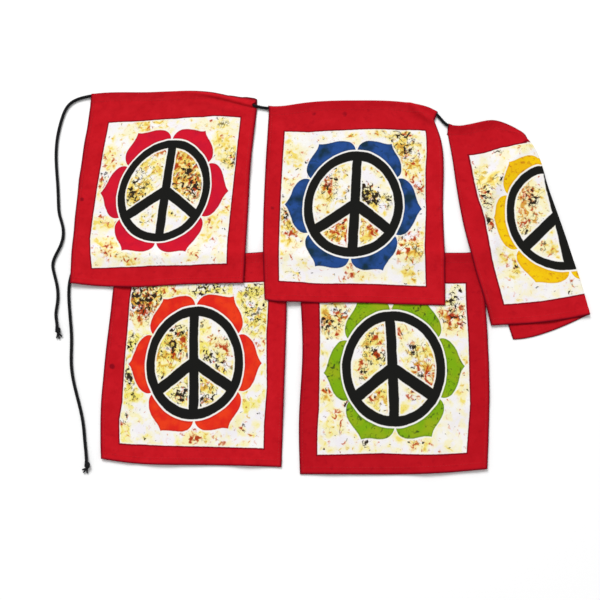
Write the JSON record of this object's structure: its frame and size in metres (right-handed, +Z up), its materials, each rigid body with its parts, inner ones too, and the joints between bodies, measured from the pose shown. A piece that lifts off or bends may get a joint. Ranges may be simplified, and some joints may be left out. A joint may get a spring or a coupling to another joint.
{
  "type": "flag bunting",
  "caption": "Hand-dyed rectangular cloth flags threaded by their top sleeves on one knotted cord, laid out flat on a surface with one flag folded over.",
  "frame": {"origin": "middle of the flags' outline, on the surface that they lie on", "axes": "+X to the right along the rows of flags, +Y towards the upper row, +Z up from the surface"},
  "size_m": [0.6942, 0.5135, 0.0109],
  "materials": {
    "dyed_cotton": "wax-dyed plain-weave cotton",
    "black_cord": "twisted black cord"
  },
  "bodies": {
    "root": {"flag_1": "dyed_cotton", "flag_2": "dyed_cotton", "flag_3": "dyed_cotton", "flag_4": "dyed_cotton", "flag_5": "dyed_cotton", "cord": "black_cord", "knot_1": "black_cord", "knot_2": "black_cord"}
  },
  "joints": []
}
